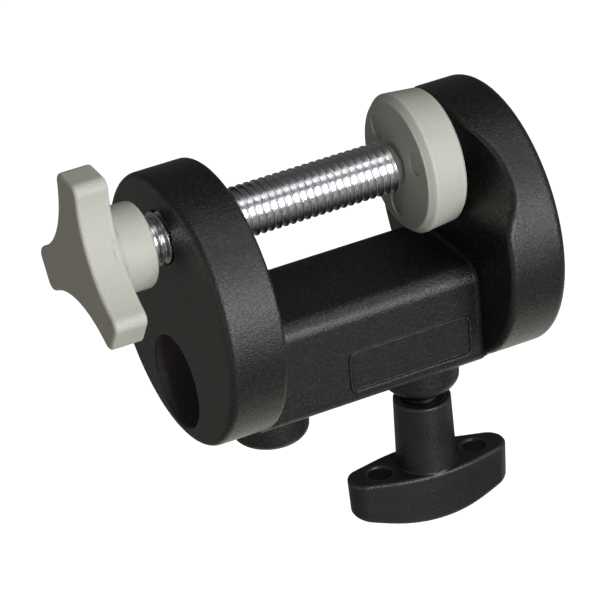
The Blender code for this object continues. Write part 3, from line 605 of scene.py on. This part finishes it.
# ------------------------------------------------------------------ materials
class Look:
    """Builds one node material."""

    def __init__(self, name):
        self.mat = bpy.data.materials.new(name)
        self.mat.use_nodes = True
        self.nodes = self.mat.node_tree.nodes
        self.links = self.mat.node_tree.links
        self.shader = self.nodes["Principled BSDF"]
        self.coords = self.nodes.new("ShaderNodeTexCoord").outputs["Object"]

    def plug(self, value, socket):
        if isinstance(value, bpy.types.NodeSocket):
            self.links.new(value, socket)
        else:
            socket.default_value = value

    def noise(self, per_mm, detail=2.0, roughness=0.5, stretch=None):
        node = self.nodes.new("ShaderNodeTexNoise")
        node.inputs["Scale"].default_value = per_mm / MM
        node.inputs["Detail"].default_value = detail
        node.inputs["Roughness"].default_value = roughness
        coords = self.coords
        if stretch is not None:
            mapping = self.nodes.new("ShaderNodeMapping")
            mapping.inputs["Scale"].default_value = stretch
            self.links.new(coords, mapping.inputs["Vector"])
            coords = mapping.outputs["Vector"]
        self.links.new(coords, node.inputs["Vector"])
        return node.outputs["Fac"]

    def remap(self, value, low, high, to_low=0.0, to_high=1.0):
        node = self.nodes.new("ShaderNodeMapRange")
        for key, number in (("From Min", low), ("From Max", high),
                            ("To Min", to_low), ("To Max", to_high)):
            node.inputs[key].default_value = number
        self.links.new(value, node.inputs["Value"])
        return node.outputs["Result"]

    def math(self, operation, a, b):
        node = self.nodes.new("ShaderNodeMath")
        node.operation = operation
        self.plug(a, node.inputs[0])
        self.plug(b, node.inputs[1])
        return node.outputs["Value"]

    def blend(self, amount, a, b):
        node = self.nodes.new("ShaderNodeMix")
        node.data_type = "RGBA"
        self.plug(amount, node.inputs["Factor"])
        self.plug(a, node.inputs["A"])
        self.plug(b, node.inputs["B"])
        return node.outputs["Result"]

    def attribute(self, name):
        node = self.nodes.new("ShaderNodeAttribute")
        node.attribute_name = name
        return node.outputs["Fac"]

    def bump(self, height, depth_mm, strength=1.0, under=None):
        node = self.nodes.new("ShaderNodeBump")
        node.inputs["Strength"].default_value = strength
        node.inputs["Distance"].default_value = depth_mm * MM
        self.links.new(height, node.inputs["Height"])
        if under is not None:
            self.links.new(under, node.inputs["Normal"])
        return node.outputs["Normal"]

    def finish(self, colour, roughness, normal=None, **values):
        self.plug(colour, self.shader.inputs["Base Color"])
        self.plug(roughness, self.shader.inputs["Roughness"])
        if normal is not None:
            self.links.new(normal, self.shader.inputs["Normal"])
        for key, value in values.items():
            self.shader.inputs[key.replace("_", " ")].default_value = value
        return self.mat


def grey(level, warm=0.0):
    """A grey, or one with more red and less blue by a share."""
    return (level * (1.0 + warm), level, level * (1.0 - warm), 1.0)


def powder_coat(name):
    """Black powder coat with a fine leathery grain, polished a little on its edges, and
    painted paler in the socket as painted light in the shaded bore."""
    look = Look(name)
    broad = look.noise(0.12, detail=3.0)
    grain = look.noise(2.5, detail=3.0, roughness=0.65)
    edge = look.remap(look.attribute("bend"), 0.15, 0.75)
    speck = look.remap(look.noise(2.3, detail=3.0, roughness=0.6), 0.50, 0.64)
    colour = look.blend(broad, (0.0072, 0.0068, 0.0067, 1.0), (0.0106, 0.0100, 0.0099, 1.0))
    colour = look.blend(look.math("MULTIPLY", edge, 0.4), colour, grey(0.028, 0.03))
    colour = look.blend(look.math("MULTIPLY", speck, 0.6), colour, grey(0.034, 0.02))
    # Painted light: the socket's wall is painted paler, standing in for light inside the shaded
    # bore.
    colour = look.blend(look.attribute("painted_shading_spot"), colour, (0.115, 0.100, 0.104, 1.0))
    rough = look.remap(grain, 0.3, 0.7, to_low=0.22, to_high=0.36)
    rough = look.math("SUBTRACT", rough, look.math("MULTIPLY", edge, 0.05))
    normal = look.bump(grain, depth_mm=0.135)
    normal = look.bump(look.noise(0.5), depth_mm=0.03, strength=0.5, under=normal)
    return look.finish(colour, rough, normal)


def grey_moulding(name, level=0.49):
    """Warm light grey plastic with a fine spark-eroded texture, a painted highlight on its
    convex edges and painted shade in its concave corners.
    """
    look = Look(name)
    broad = look.noise(0.10, detail=3.0)
    grain = look.noise(2.2, detail=3.0, roughness=0.65)
    edge = look.remap(look.attribute("bend"), 0.3, 0.9)
    hollow = look.remap(look.attribute("bend"), -0.2, -0.9)
    colour = look.blend(broad, (level, level, level * 0.89, 1.0),
                        (level * 1.07, level * 1.07, level * 0.95, 1.0))
    # Painted highlight: convex edges are painted paler, standing in for the light they catch.
    colour = look.blend(look.math("MULTIPLY", edge, 0.35), colour, grey(level * 1.25, 0.01))
    # Painted shade: concave corners and creases are painted darker, standing in for shade.
    colour = look.blend(look.math("MULTIPLY", hollow, 0.35), colour, grey(level * 0.6, 0.03))
    rough = look.remap(grain, 0.3, 0.7, to_low=0.42, to_high=0.55)
    normal = look.bump(grain, depth_mm=0.16)
    normal = look.bump(look.noise(0.5), depth_mm=0.05, strength=0.4, under=normal)
    return look.finish(colour, rough, normal)


def black_moulding(name):
    """Black glass-filled nylon: satin, with faint flow marks, dull dimples painted darker as
    shade and a painted highlight on its convex edges.
    """
    look = Look(name)
    flow = look.noise(0.25, detail=4.0, roughness=0.6, stretch=(0.4, 1.0, 1.0))
    grain = look.noise(2.4, detail=3.0, roughness=0.6)
    edge = look.remap(look.attribute("bend"), 0.2, 0.9)
    colour = look.blend(flow, grey(0.010), grey(0.018))
    # Painted highlight: convex edges are painted paler, standing in for the light they catch.
    colour = look.blend(look.math("MULTIPLY", edge, 0.5), colour, grey(0.05))
    # Painted shade: the wing's dimples are painted darker, standing in for shade in them.
    colour = look.blend(look.attribute("painted_shading_spot"), colour, grey(0.004))
    rough = look.remap(flow, 0.3, 0.7, to_low=0.25, to_high=0.37)
    rough = look.math("ADD", rough, look.math("MULTIPLY", look.attribute("painted_shading_spot"), 0.25))
    normal = look.bump(grain, depth_mm=0.12)
    normal = look.bump(flow, depth_mm=0.06, strength=0.5, under=normal)
    return look.finish(colour, rough, normal)


def plated(name, colour, rough):
    """Plated or bare metal, uneven in brightness and gloss."""
    look = Look(name)
    broad = look.noise(0.35, detail=3.0)
    tint = look.blend(broad, colour, tuple(c * 0.86 for c in colour[:3]) + (1.0,))
    roughness = look.remap(broad, 0.3, 0.7, to_low=rough * 0.93, to_high=rough * 1.10)
    return look.finish(tint, roughness, Metallic=1.0)


# ------------------------------------------------------------------ pieces
def fit(obj, node, body, material):
    """Stand a piece in for a CAD node, on its body and in its own material slot."""
    obj.data.materials.append(material)
    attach(obj, body)
    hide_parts(node)


def near_plate(points):
    """The bridge's side around the plate's frame."""
    x, y, z = points.T
    return (y < -11.6) & (x > 29.0) & (x < 56.0) & (z > -22.4) & (z < -12.8)


def in_socket(points):
    """The wall of the spigot's socket."""
    x, y, z = points.T
    return (np.hypot(y, z - SOCKET_Z) < 8.95) & (x > 0.4) & (x < 68.6)


def in_dimple(points):
    """The two dimples in the wing."""
    x, y, z = points.T
    away = [np.hypot(x - LOCK_X - side * DIMPLE_AWAY * math.cos(WING_TURN),
                     y - side * DIMPLE_AWAY * math.sin(WING_TURN)) for side in (-1.0, 1.0)]
    return (np.minimum(*away) < 2.3) & (z > -50.6)


def pad_edges(points):
    """The pad's bevels and the dimples in its back."""
    x, y, z = points.T
    around = np.hypot(y, z - PAD_Z)
    bevels = (around > 10.9) & ((x < 50.0) | (x > 55.6))
    dimples = (x < 49.1) & (around > 5.6) & (around < 11.4)
    return bevels | dimples


def build_pieces():
    coat, nylon = powder_coat("powder_coat"), black_moulding("black_nylon")
    light_grey = grey_moulding("grey_moulding")
    zinc = plated("bright_zinc", (0.88, 0.89, 0.91, 1.0), 0.25)
    steel = plated("ground_steel", (0.56, 0.56, 0.57, 1.0), 0.30)
    dark_steel = plated("blackened_steel", (0.045, 0.044, 0.044, 1.0), 0.48)
    brass = plated("turned_brass", (0.70, 0.50, 0.22, 1.0), 0.28)
    x_axis, z_axis = (1, 0, 0), (0, 0, 1)

    # The socket's mask carries painted light onto the bore's wall.
    body = moulded("cast_body", body_field, (0, -DISC_R, BOSS_LOW_Z), (BODY_L, DISC_R, DISC_R),
                   0.42, fine=near_plate, painted_shading_spot=in_socket)
    fit(body, "clamp_body", "frame", coat)
    knob = moulded("lobed_knob", knob_field, (KNOB_FACE_X, -17.4, -2.0),
                   (KNOB_HUB_X, 17.4, 33.0), 0.30)
    fit(knob, "clamp_knob", "spindle", light_grey)
    pad = moulded("swivel_pad", pad_field, (PAD_BACK_X, -PAD_R, PAD_Z - PAD_R),
                  (PAD_FACE_X, PAD_R, PAD_Z + PAD_R), 0.28, fine=pad_edges)
    fit(pad, "pad_shell", "pad", light_grey)
    cover = moulded("pad_face_disc", cover_field, (COVER_BACK_X, -COVER_R, PAD_Z - COVER_R),
                    (PAD_FACE_X, COVER_R, PAD_Z + COVER_R), 0.24)
    fit(cover, "pad_cover", "pad", grey_moulding("grey_face", 0.44))
    # The dimples' mask carries painted shade into them.
    handle = moulded("t_handle", handle_field, (33.4, -7.0, WING_LOW_Z),
                     (66.8, 7.0, HUB_TOP_Z), 0.30, painted_shading_spot=in_dimple)
    fit(handle, "lock_handle", "lock_screw", nylon)
    plug = moulded("catch_set_screw", plug_field, (CATCH_X - PLUG_R, -PLUG_R, PLUG_LOW_Z),
                   (CATCH_X + PLUG_R, PLUG_R, PLUG_TOP_Z), 0.16)
    fit(plug, "catch_plug", "frame", dark_steel)

    spindle = screw("threaded_spindle", SPINDLE_HEAD, SPINDLE_THREAD, SPINDLE_TIP,
                    x_axis, (0, 0, SCREW_Z))
    fit(spindle, "clamp_screw", "spindle", zinc)
    stud = screw("spigot_screw", STUD_FOOT, STUD_THREAD, STUD_TIP,
                 z_axis, (LOCK_X, 0, 0), steps=72, flats=math.pi / 6.0)
    fit(stud, "lock_stud", "lock_screw", dark_steel)

    shoe = turned("brass_shoe", SHOE_PROFILE, z_axis, (LOCK_X, 0, 0), steps=64)
    fit(shoe, "lock_shoe", "lock_slide", brass)
    pin = turned("brass_catch_pin", PIN_PROFILE, z_axis, (CATCH_X, 0, 0), steps=64)
    fit(pin, "catch_pin", "catch", brass)
    bearing = turned("bearing_disc", BEARING_PROFILE, x_axis, (0, 0, SCREW_Z))
    fit(bearing, "thrust_disc", "pad_carriage", steel)

    ring_r, wire_r, ring_x, points = 3.45, 0.45, 50.6, 96
    angle = np.arange(points) * math.tau / points
    loop = np.stack([ring_r * np.cos(angle), ring_r * np.sin(angle), np.zeros(points)], axis=1)
    retainer = wound("retaining_ring", loop, wire_r, pose_along(x_axis, (ring_x, 0, PAD_Z)), True)
    fit(retainer, "pad_ring", "pad_ring_body", steel)
    coil_r, coil_wire_r, coil_low_z, coil_h, coil_turns, points = 2.7, 0.25, -30.05, 2.4, 2.5, 140
    turns = np.linspace(0.0, coil_turns, points)
    coil = np.stack([coil_r * np.cos(turns * math.tau), coil_r * np.sin(turns * math.tau),
                     coil_low_z + coil_h * turns / coil_turns], axis=1)
    spring = wound("catch_coil", coil, coil_wire_r, pose_along(z_axis, (CATCH_X, 0, 0)))
    fit(spring, "catch_spring", "frame", steel)
    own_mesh(spring)


# ------------------------------------------------------------------ camera, light and floor
def direction(azimuth, elevation):
    """Azimuth 0 points towards -Y and 90 towards +X."""
    a, e = math.radians(azimuth), math.radians(elevation)
    return Vector((math.sin(a) * math.cos(e), -math.cos(a) * math.cos(e), math.sin(e)))


def soft_light(name, azimuth, elevation, distance, width, height, watts, tint):
    """A rectangular area light that faces the object's middle, unseen by the camera."""
    data = bpy.data.lights.new(name, "AREA")
    data.shape = "RECTANGLE"
    data.size, data.size_y = width, height
    data.energy = watts
    data.color = tint
    obj = bpy.data.objects.new(name, data)
    bpy.context.scene.collection.objects.link(obj)
    away = direction(azimuth, elevation)
    obj.location = Vector(OBJECT_MIDDLE) + away * distance
    obj.rotation_euler = away.to_track_quat("Z", "Y").to_euler()
    obj.visible_camera = False


def build_camera():
    """The long lens of a catalogue picture, above and to the left of the clamp."""
    data = bpy.data.cameras.new("camera")
    data.lens, data.sensor_width = 225.3, 36.0
    data.clip_start, data.clip_end = 0.01, 50.0
    obj = bpy.data.objects.new("camera", data)
    bpy.context.scene.collection.objects.link(obj)
    right, up = Vector((0.8866, -0.4554, -0.0807)), Vector((0.2876, 0.4063, 0.8673))
    back = right.cross(up).normalized()
    up = back.cross(right).normalized()
    right.normalize()
    turn = Matrix((right, up, back)).transposed().to_4x4()
    obj.matrix_world = Matrix.Translation(Vector((-0.2261, -0.5523, 0.33605))) @ turn
    bpy.context.scene.camera = obj


def build_floor():
    """A plain pale floor, too far below to take a shadow and left out of reflections."""
    bm = bmesh.new()
    bmesh.ops.create_grid(bm, x_segments=4, y_segments=4, size=15.0)
    mesh = bpy.data.meshes.new("floor")
    bm.to_mesh(mesh)
    bm.free()
    floor = place("floor", mesh)
    floor.location.z = FLOOR_Z
    look = Look("floor_paper")
    floor.data.materials.append(look.finish(
        grey(0.80), 0.9, Emission_Color=(1.0, 1.0, 1.0, 1.0), Emission_Strength=0.85))
    floor.visible_glossy = False
    floor.visible_diffuse = False


def build_world():
    """Dim surroundings, paler from below, with a white backdrop for the camera alone."""
    world = bpy.data.worlds.new("studio")
    bpy.context.scene.world = world
    world.use_nodes = True
    nodes, links = world.node_tree.nodes, world.node_tree.links
    coords, split = nodes.new("ShaderNodeTexCoord"), nodes.new("ShaderNodeSeparateXYZ")
    height, shade = nodes.new("ShaderNodeMapRange"), nodes.new("ShaderNodeMix")
    shade.data_type = "RGBA"
    shade.inputs["A"].default_value = (0.135, 0.127, 0.115, 1.0)
    shade.inputs["B"].default_value = (0.056, 0.055, 0.055, 1.0)
    height.inputs["From Min"].default_value = -0.5
    height.inputs["From Max"].default_value = 0.4
    dim = nodes["Background"]
    links.new(coords.outputs["Generated"], split.inputs["Vector"])
    links.new(split.outputs["Z"], height.inputs["Value"])
    links.new(height.outputs["Result"], shade.inputs["Factor"])
    links.new(shade.outputs["Result"], dim.inputs["Color"])
    pale = nodes.new("ShaderNodeBackground")
    pale.inputs["Color"].default_value = (1.0, 1.0, 1.0, 1.0)
    mix, path = nodes.new("ShaderNodeMixShader"), nodes.new("ShaderNodeLightPath")
    links.new(path.outputs["Is Camera Ray"], mix.inputs["Fac"])
    links.new(dim.outputs["Background"], mix.inputs[1])
    links.new(pale.outputs["Background"], mix.inputs[2])
    links.new(mix.outputs["Shader"], nodes["World Output"].inputs["Surface"])


def build_lights():
    white, cream, warm = (1.0, 1.0, 1.0), (1.0, 1.0, 0.92), (1.0, 0.96, 0.88)
    for light in (("key", 10.0, 15.0, 1.2, 0.75, 0.80, 14.5, white),
                  ("top", 45.0, 64.0, 1.2, 0.45, 0.45, 2.8, white),
                  ("front_low", -8.0, -32.0, 1.0, 1.0, 0.45, 0.5, white),
                  ("back_left", -150.0, -25.0, 1.1, 0.9, 0.7, 0.1, white),
                  ("below", 125.0, -58.0, 0.9, 0.9, 0.7, 1.3, cream),
                  ("left", -84.0, 3.0, 1.2, 1.3, 1.1, 2.4, warm)):
        soft_light(*light)


build_pieces()
build_camera()
build_floor()
build_world()
build_lights()
bpy.context.scene.view_settings.view_transform = "Standard"
